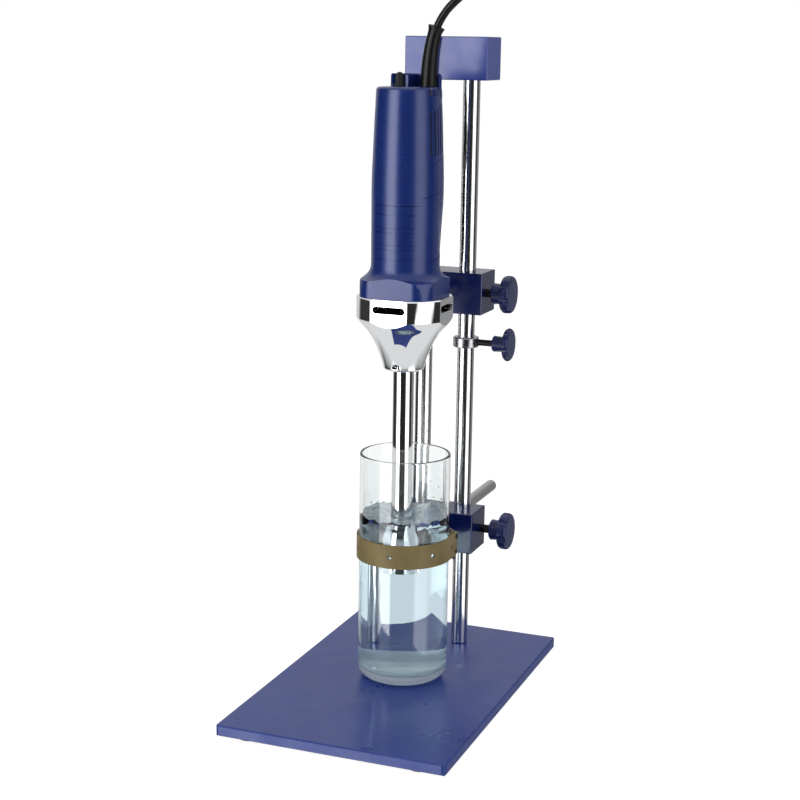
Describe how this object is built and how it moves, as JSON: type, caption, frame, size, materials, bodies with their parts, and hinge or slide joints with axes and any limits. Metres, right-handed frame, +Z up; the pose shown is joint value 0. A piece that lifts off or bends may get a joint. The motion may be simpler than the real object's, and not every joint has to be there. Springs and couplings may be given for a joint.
{
  "type": "rotor stator homogenizer",
  "caption": "Rotor-stator homogenizer: a hand motor with a dispersing tool on a two-rod plate stand, above a glass beaker held by a strap clamp.",
  "frame": {"origin": "centre of the base plate's underside; the rubber feet stand 1.5 mm below it", "axes": "+X to the knobs' side, +Y to the back where the rods stand, +Z up along the rods"},
  "size_m": [0.211, 0.4328, 0.6565],
  "materials": {
    "plate_paint": "satin",
    "foot_rubber": "matte",
    "block_blue": "satin",
    "top_blue": "satin",
    "rod_steel": "polished",
    "bright_steel": "satin",
    "black_steel": "satin",
    "knob_plastic": "gloss",
    "flange_chrome": "polished",
    "tool_steel": "polished",
    "housing_plastic": "satin",
    "black_plastic": "satin",
    "cord_rubber": "matte",
    "pin_metal": "polished",
    "core_steel": "matte",
    "copper": "satin",
    "carbon": "matte",
    "white_plastic": "satin",
    "jaw_coat": "matte",
    "lining_rubber": "matte",
    "strap_rubber": "matte",
    "cross_aluminium": "satin",
    "beaker_glass": "clear"
  },
  "bodies": {
    "stand": {"base_plate": "plate_paint", "rubber_feet": "foot_rubber", "foot_screws": "bright_steel", "rod_left": "rod_steel", "rod_right": "rod_steel", "rod_screws": "black_steel", "top_block": "top_blue", "top_set_screws": "black_steel"},
    "carriage": {"carriage_block": "block_blue", "holding_arm": "tool_steel", "arm_set_screw": "black_steel", "flange": "flange_chrome", "tool_set_screw": "black_steel", "flange_screws": "bright_steel", "motor_housing": "housing_plastic", "rear_cover": "housing_plastic", "switch_body": "black_plastic", "strain_relief": "cord_rubber", "cord_lead": "cord_rubber", "cord_hank": "cord_rubber", "cord_tail": "cord_rubber", "cord_tie": "black_plastic", "plug_body": "cord_rubber", "plug_pins": "pin_metal", "field_stator": "core_steel", "field_coils": "copper", "brush_holders": "pin_metal", "carbon_brushes": "carbon", "bearing_spider": "black_plastic", "upper_bearing": "bright_steel", "lower_bearing": "bright_steel", "tool_tube": "tool_steel", "stator_head": "tool_steel", "tool_bush": "white_plastic", "tool_seal": "white_plastic"},
    "drive": {"motor_shaft": "tool_steel", "armature": "core_steel", "commutator": "copper", "cooling_fan": "black_plastic", "shaft_coupling": "bright_steel", "drive_shaft": "tool_steel", "rotor": "tool_steel"},
    "carriage_clamp": {"carriage_screw": "black_steel", "carriage_knob": "knob_plastic"},
    "stop": {"stop_collar": "rod_steel"},
    "stop_clamp": {"collar_screw": "black_steel", "collar_knob": "knob_plastic"},
    "vessel_clamp": {"lower_block": "block_blue", "cross_set_screw": "black_steel", "cross_rod": "cross_aluminium", "strap_jaw": "jaw_coat", "jaw_lining": "lining_rubber", "strap": "strap_rubber", "strap_studs": "black_steel"},
    "vessel_knob": {"lower_screw": "black_steel", "lower_knob": "knob_plastic"},
    "power_switch": {"switch_lever": "foot_rubber"},
    "vessel": {"beaker": "beaker_glass"}
  },
  "joints": [
    {"name": "carriage_height", "type": "slide", "parent": "stand", "child": "carriage", "axis": [0, 0, 1], "range_m": [-0.012, 0.165]},
    {"name": "drive_spin", "type": "hinge", "parent": "carriage", "child": "drive", "pos_m": [0, 0.0045, 0.3], "axis": [0, 0, 1], "continuous": true},
    {"name": "carriage_knob_turn", "type": "hinge", "parent": "carriage", "child": "carriage_clamp", "pos_m": [0.05, 0.114, 0.358], "axis": [1, 0, 0], "range_deg": [0, 720]},
    {"name": "stop_height", "type": "slide", "parent": "stand", "child": "stop", "axis": [0, 0, 1], "range_m": [-0.08, 0]},
    {"name": "stop_knob_turn", "type": "hinge", "parent": "stop", "child": "stop_clamp", "pos_m": [0.05, 0.114, 0.3105], "axis": [1, 0, 0], "range_deg": [0, 720]},
    {"name": "vessel_clamp_height", "type": "slide", "parent": "stand", "child": "vessel_clamp", "axis": [0, 0, 1], "range_m": [-0.085, 0.06]},
    {"name": "vessel_knob_turn", "type": "hinge", "parent": "vessel_clamp", "child": "vessel_knob", "pos_m": [0.05, 0.114, 0.1285], "axis": [1, 0, 0], "range_deg": [0, 720]},
    {"name": "power_toggle", "type": "hinge", "parent": "carriage", "child": "power_switch", "pos_m": [-0.011, 0.0125, 0.5473], "axis": [1, 0, 0], "range_deg": [0, 24]},
    {"name": "vessel_lift", "type": "slide", "parent": "stand", "child": "vessel", "axis": [0, 0, 1], "range_m": [0, 0.07]}
  ]
}
